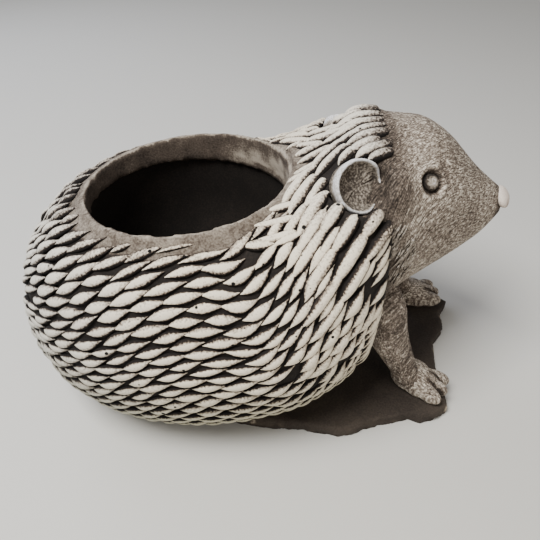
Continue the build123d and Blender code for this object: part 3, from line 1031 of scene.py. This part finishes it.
# %% Turn the ears
EAR_PROFILE = np.array([
    (0.5, -6.8), (5, -6.4), (9, -5.4), (13, -3.6), (16, -1.0), (17.4, 1.2), (18.4, 2.4),
    (19.4, 2.0), (20, 0.2), (20, -4), (19, -9), (17.4, -14), (0.5, -14),
])
EAR_SINK = 6.5
FAR_EAR_SHARE, FAR_EAR_DEPTH = 0.84, 7
ear_spin = np.linspace(0, 2 * math.pi, 120, endpoint=False)


def noise_round(lumps, level):
    """Noise that runs round a circle and joins up with itself."""
    return np.array([[noise.noise(Vector((math.cos(a) * lumps, math.sin(a) * lumps, level)))
                      for a in ear_spin]])


steps = np.linspace(0, len(EAR_PROFILE) - 1, 56)[:, None]
radius, height = (through(np.arange(len(EAR_PROFILE)), column, steps) for column in EAR_PROFILE.T)
sink = ease((np.cos(ear_spin) - 0.35) / 0.6) * ease((radius - 9) / 8)
inner = (steps < 5.2) * ease((radius - 2) / 5) * ease((16 - radius) / 4)
groove, fine = noise_round(3.2, 0), noise_round(9, 3) * 1.6
lift = height + inner * (groove * 1.4 + fine * 0.5) - sink * EAR_SINK
spread = radius * (1 - 0.04 * sink + 0.02 * groove)
ear_points = np.stack([spread * np.cos(ear_spin), spread * np.sin(ear_spin), lift],
                      axis=-1).reshape(-1, 3)
on_rim = ease((steps - 4.4) / 1.6) * ease((10.5 - steps) / 2)
proud = np.clip(0.42 + 0.42 * on_rim + 0.1 * inner * fine + 0.07 * groove - 0.12 * sink, 0, 1)
for side_name, side in (("right", -1), ("left", 1)):
    z_axis = Vector(EAR_FACING * (1, side, 1))
    front = Vector((1, 0, -0.25))
    x_axis = (front - z_axis * front.dot(z_axis)).normalized()
    basis = np.array([tuple(x_axis), tuple(z_axis.cross(x_axis)), tuple(z_axis)])
    centre = np.array(EAR_PLACE) * (1, side, 1)
    scale = 1
    if side > 0:
        centre, scale = centre - np.array(z_axis) * FAR_EAR_DEPTH, FAR_EAR_SHARE
    ear = make_object(f"{side_name}_ear_dish", ear_points * scale @ basis + centre,
                      ring_faces(len(steps), len(ear_spin)), ear_finish)
    store(ear, "proud", proud)
    face_out(ear)
    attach(ear, "root")
    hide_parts(f"{side_name}_ear")
print("an ear is", 2 * EAR_PROFILE[:, 0].max(), "mm across")

# %% [markdown]
# ## Chest, legs and paws
# The chest and legs are short-furred and plain. A leg is a stack of rings from shoulder
# to ankle. A paw is a low mound with toes on its front: ellipsoids pressed into one
# another and remeshed, which closes the folds between them as soft clay would.

# %% The chest, and fur for plain pieces
CHEST = np.array([(70, 86, 54, 54), (88, 90, 50, 49), (101, 95, 37, 36), (106, 97, 17, 18)],
                 float)
spin = np.linspace(0, 2 * math.pi, 120, endpoint=False)
circle = np.stack([np.cos(spin), np.sin(spin), 0 * spin], axis=1)
chest_x = np.linspace(CHEST[0, 0], CHEST[-1, 0], 40)
middle, wide, tall = (column[:, None] for column in sections_at(CHEST, chest_x))
chest_grid = np.stack([chest_x[:, None] + circle[:, 2], wide * circle[:, 0],
                       middle + tall * circle[:, 1]], axis=-1).reshape(-1, 3)
chest = make_object("chest_cast", chest_grid, ring_faces(len(chest_x), len(spin)), face_finish)
face_out(chest)


def furred(thing, direction, depth, base):
    """Give a piece short carved hair that runs in a direction, and keep its flow."""
    spots, out = points_of(thing), normals_of(thing)
    along = spots @ np.asarray(direction)
    level = np.hypot(spots[:, 0], spots[:, 1] * 1.3)
    hair = noise_at(np.stack([along / 9.0, level / 2.6, spots[:, 1] / 9.0], axis=1), 1.0)
    move_points(thing, spots + out * (hair * depth)[:, None])
    store(thing, "proud", base + 0.25 * hair)
    store(thing, "flow", np.stack([along, level, 0 * level], axis=1) * MM, "FLOAT_VECTOR")


furred(chest, (0.3, 0, 1), depth=0.5, base=0.3)
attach(chest, "root")
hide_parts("chest")
print("chest:", triangles(chest), "triangles")

# %% The forelegs
# Each row: share of the way forward, share of the way down, share of the radius
LEG_SHARES = np.array([(0, 0, 0.45), (0.08, 0.08, 0.86), (0.20, 0.25, 1.0), (0.40, 0.48, 0.82),
                       (0.64, 0.70, 0.66), (0.84, 0.87, 0.56), (1, 1, 0.54)])
LEG_RADIUS = 24
LEG_RINGS = 70
SHOULDER = (80, 58, 150)
ANKLE_BACK, ANKLE_HEIGHT = 8, 24
PAWS = {"right": (140, -56, -30), "left": (160, 66, 6)}
stations = np.arange(len(LEG_SHARES))
forward, down, size = (through(stations, column, np.linspace(0, stations[-1], LEG_RINGS))
                       for column in LEG_SHARES.T)
for side_name, (paw_x, paw_y, _) in PAWS.items():
    shoulder = np.array(SHOULDER) * (1, -1 if side_name == "right" else 1, 1)
    ankle = np.array((paw_x - ANKLE_BACK, paw_y, ANKLE_HEIGHT))
    centre = shoulder + (ankle - shoulder) * np.stack([forward, forward, down], axis=1)
    stack = centre[:, None, :] + LEG_RADIUS * size[:, None, None] * circle[None, :, :]
    leg = make_object(f"{side_name}_foreleg_cast", stack.reshape(-1, 3),
                      ring_faces(LEG_RINGS, len(spin)), face_finish)
    face_out(leg)
    furred(leg, (-0.5, 0, 1), depth=0.5, base=0.45)
    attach(leg, "root")
    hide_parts(f"{side_name}_foreleg")
print("leg:", triangles(leg), "triangles")


# %% Clay pressed into one skin
def turned_by(heading, forward, sideways):
    """A step forward and sideways, as X and Y, for a piece turned by heading degrees."""
    cosine, sine = math.cos(math.radians(heading)), math.sin(math.radians(heading))
    return forward * cosine - sideways * sine, forward * sine + sideways * cosine


def clay(name, lumps, voxel_mm, material):
    """Press ellipsoids together and remesh them into one skin."""
    shell = bmesh.new()
    for centre, radii, heading in lumps:
        made = bmesh.ops.create_icosphere(shell, subdivisions=4, radius=1.0)
        for vert in made["verts"]:
            x, y = turned_by(heading, vert.co.x * radii[0], vert.co.y * radii[1])
            place = (centre[0] + x, centre[1] + y, centre[2] + vert.co.z * radii[2])
            vert.co = Vector(place) * MM
    mesh = bpy.data.meshes.new(name)
    shell.to_mesh(mesh)
    shell.free()
    thing = bpy.data.objects.new(name, mesh)
    bpy.context.scene.collection.objects.link(thing)
    modifier = thing.modifiers.new("one skin", "REMESH")
    modifier.mode = "VOXEL"
    modifier.voxel_size = voxel_mm * MM
    soften = thing.modifiers.new("soften", "SMOOTH")
    soften.iterations = 3
    return plain_mesh(thing, material)


# %% Paws with three toes and the folds between them
TOE_SPACING = 10.4
TOE_FAN = 12
SLIT_AT = 5.4
for side_name, (paw_x, paw_y, heading) in PAWS.items():
    mounds = [((-6, 0, 24), (20, 16, 16), heading), ((4, 0, 20), (18, 16.5, 14), heading)]
    for toe in (-1, 0, 1):
        mounds.append(((15 - abs(toe) * 2, toe * TOE_SPACING, 20), (15, 6.6, 9.5),
                       heading + toe * TOE_FAN))
    lumps = []
    for (forward, sideways, height), radii, fan in mounds:
        x, y = turned_by(heading, forward, sideways)
        lumps.append(((paw_x + x, paw_y + y, height), radii, fan))
    paw = clay(f"{side_name}_paw_cast", lumps, voxel_mm=1.1, material=face_finish)
    spots = points_of(paw)
    spots[:, 2] = np.maximum(spots[:, 2], SLAB_TOP)
    move_points(paw, spots)
    forward, sideways = turned_by(-heading, spots[:, 0] - paw_x, spots[:, 1] - paw_y)
    slit = bell(np.abs(sideways) - SLIT_AT, 1.6) * ease((forward - 6) / 8)
    proud = 0.62 - 0.6 * slit - 0.25 * ease((17 - spots[:, 2]) / 5)
    store(paw, "proud", proud + 0.12 * noise_at(spots, 5))
    flow = np.stack([forward, sideways, 0 * slit], axis=1)
    store(paw, "flow", flow * MM, "FLOAT_VECTOR")
    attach(paw, "root")
    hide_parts(f"{side_name}_paw")
print("paw:", triangles(paw), "triangles")

# %% [markdown]
# ## The slab
# The slab is a thin slop of concrete with a smooth, dark, stained top. Its rim has
# broken away in places and shows pale crumbs. Rings of points follow the outline up the
# broken side and inwards over the top, and noise eats into the edge.

# %% Outline and rings of the slab
SLAB_LENGTH, SLAB_WIDTH = 353, 211
SLAB_OUTLINE = np.array([
    (0.567, 0.303), (0.538, 0.227), (0.530, 0.109), (0.487, 0.019), (0.476, -0.104),
    (0.476, -0.332), (0.473, -0.379), (0.439, -0.417), (0.397, -0.436), (0.371, -0.417),
    (0.323, -0.436), (0.258, -0.464), (0.215, -0.493), (0.181, -0.507), (0.125, -0.488),
    (0.085, -0.474), (0.000, -0.464), (-0.127, -0.427), (-0.212, -0.379), (-0.312, -0.294),
    (-0.397, -0.209), (-0.425, 0.000), (-0.397, 0.209), (-0.297, 0.332), (-0.170, 0.417),
    (0.000, 0.464), (0.170, 0.493), (0.312, 0.483), (0.425, 0.450), (0.516, 0.389),
]) * (SLAB_LENGTH, SLAB_WIDTH)
# Each ring: height, and how far it lies inside the outline
SIDE_RINGS = [(0.0, 2.0), (0.0, 0.4), (2.5, 0.0), (6.0, -0.6), (9.0, 0.2), (11.0, 1.2),
              (SLAB_TOP, 3.0), (SLAB_TOP, 6.0), (SLAB_TOP, 12.0), (SLAB_TOP, 24.0)]
TOP_SHARES = (0.7, 0.5, 0.3, 0.12)
closed = np.vstack([SLAB_OUTLINE, SLAB_OUTLINE[:1]])
length = np.concatenate([[0], np.cumsum(np.linalg.norm(np.diff(closed, axis=0), axis=1))])
at = np.linspace(0, length[-1], 620, endpoint=False)
edge = np.stack([np.interp(at, length, closed[:, k]) for k in (0, 1)], axis=1)


def level_ring(outline, height):
    return np.column_stack([outline, np.full(len(outline), height)])


print("outline:", round(float(length[-1])), "mm round")

# %% Break the side, lay the top
slab_rings = [level_ring(edge * 0.1, 0.0)]
for height, inset in SIDE_RINGS:
    place = level_ring(edge, height)
    near_edge = inset < 5
    bite = np.maximum(0, noise_at(place * (1, 1, 2), 9)) * 3.2 + np.abs(noise_at(place, 3.2)) * 1.3
    shrink = 1 - (inset + 0.8 + bite * near_edge) / np.linalg.norm(edge, axis=1)
    sag = np.maximum(0, noise_at(place, 12)) * 2.6 * (4 < height) * near_edge
    slab_rings.append(np.column_stack([edge * shrink[:, None], height - sag]))
slab_rings += [level_ring(edge * share, SLAB_TOP) for share in TOP_SHARES]
slab_points = np.vstack(slab_rings)
top = slab_points[:, 2] > SLAB_TOP - 0.1
slab_points[top, 2] += (noise_at(slab_points[top], 22) - 0.4) * 0.8
slab = make_object("slab_cast", slab_points, ring_faces(len(slab_rings), len(edge)), slab_finish)
face_out(slab)
spots = points_of(slab)
from_edge = np.min(np.linalg.norm(spots[:, None, :2] - edge[None, ::6, :], axis=2), axis=1)
broken = ease((5 - from_edge) / 4) * ease((spots[:, 2] - 1) / 3)
broken *= ease(noise_at(spots, 17) * 2.4 - 0.15)
store(slab, "proud", 0.35 + 0.6 * broken + 0.12 * noise_at(spots, 40))
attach(slab, "root")
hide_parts("base_slab")
print("slab:", triangles(slab), "triangles")

# %% [markdown]
# ## Tufts on the cheek
# Behind the jaw the fur breaks into pale pointed tufts that hang back over the dark neck.
# They are spines again, found on the head's surface by rays from the side, and raised by
# the same tree.

# %% Lay and raise the tufts
TUFTS_PER_SIDE = 70
tuft_profile = np.array([0.15, 0.6, 0.9, 1.0, 0.85, 0.5, 0.08])
head_tree = BVHTree.FromPolygons([v.co.copy() for v in head.data.vertices],
                                 [tuple(p.vertices) for p in head.data.polygons])
tufts = []
for side in [-1] * TUFTS_PER_SIDE + [1] * TUFTS_PER_SIDE:
    x, z = dice.uniform(84, 112), dice.uniform(168, 212)
    z -= (x - 96) * 0.3
    length, lean = dice.uniform(9, 17), dice.uniform(-0.2, 0.25)
    spine, ups = [], []
    for t in np.linspace(0, 1, len(tuft_profile)):
        probe = Vector((x - length * t * (0.62 + lean), 120 * side,
                        z - length * t * (0.78 - lean))) * MM
        hit, out, _, _ = head_tree.ray_cast(probe, Vector((0, -side, 0)))
        if hit is not None:
            spine.append(np.array(hit) / MM)
            ups.append(np.array(out))
    if len(spine) == len(tuft_profile):
        lifted = np.array(spine) + ups * np.linspace(-0.6, 1.2, len(spine))[:, None]
        tufts.append((lifted, np.array(ups), dice.uniform(0.8, 1.5), 1.0))
tuft_body = raise_spines("cheek_tufts", tufts, tuft_profile, ear_finish, sides=6, rise=1.0, seed=9)
store(tuft_body, "proud", 0.15 + 0.42 * ease((attribute_of(tuft_body, "ridge") + 0.1) / 0.9))
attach(tuft_body, "root")
print("tufts:", len(tufts))

# %% [markdown]
# ## Light, floor and camera
# A plain pale floor, soft light from the upper left, and a camera that looks down at the
# planter's side from 40 degrees, as in the photograph.

# %% Floor
FLOOR_REACH = 4000
floor_material = bpy.data.materials.new("studio_floor")
floor_material.use_nodes = True
shader = floor_material.node_tree.nodes["Principled BSDF"]
shader.inputs["Base Color"].default_value = hex_colour("#d6d4cf")
shader.inputs["Roughness"].default_value = 0.9
corners = [(x * FLOOR_REACH, y * FLOOR_REACH, 0) for x, y in ((-1, -1), (1, -1), (1, 1), (-1, 1))]
floor = make_object("studio_floor", corners, [(0, 1, 2, 3)], floor_material)
print("floor:", 2 * FLOOR_REACH, "mm square")


# %% Lights
def soft_light(name, place, target, size, power, colour):
    """A square soft box that faces the target."""
    lamp = bpy.data.lights.new(name, "AREA")
    lamp.size = size
    lamp.energy = power
    lamp.color = hex_colour(colour)[:3]
    holder = bpy.data.objects.new(name, lamp)
    holder.location = place
    holder.rotation_euler = (Vector(target) - Vector(place)).to_track_quat("-Z", "Y").to_euler()
    bpy.context.scene.collection.objects.link(holder)


middle_of_planter = (0, 0, 0.12)
soft_light("key", (-0.45, -0.45, 1.35), middle_of_planter, 0.6, 31, "#fbfaf6")
soft_light("fill", (0.9, -1.1, 0.6), middle_of_planter, 0.9, 4, "#fff3e2")
soft_light("back", (-0.9, 0.9, 0.9), middle_of_planter, 0.8, 8, "#e4ecff")
world = bpy.data.worlds.new("studio")
world.use_nodes = True
world.node_tree.nodes["Background"].inputs["Color"].default_value = hex_colour("#e8e8e8")
world.node_tree.nodes["Background"].inputs["Strength"].default_value = 0.35
bpy.context.scene.world = world
print("lamps:", len(bpy.data.lights))

# %% Camera
# The photograph is 540 pixels wide and has the field of a lens 560 pixels long
SENSOR_MM, FRAME_PX, FOCAL_PX = 36, 540, 560
ELEVATION, DISTANCE, LOOK_AT = math.radians(40), 0.520, Vector((0, 0, 0.110))
camera_data = bpy.data.cameras.new("photo_camera")
camera_data.sensor_width = SENSOR_MM
camera_data.lens = FOCAL_PX / FRAME_PX * SENSOR_MM
camera = bpy.data.objects.new("photo_camera", camera_data)
camera.location = LOOK_AT + Vector((0, -math.cos(ELEVATION), math.sin(ELEVATION))) * DISTANCE
camera.rotation_euler = (LOOK_AT - camera.location).to_track_quat("-Z", "Y").to_euler()
bpy.context.scene.collection.objects.link(camera)
bpy.context.scene.camera = camera
print("lens:", round(camera_data.lens, 1), "mm")
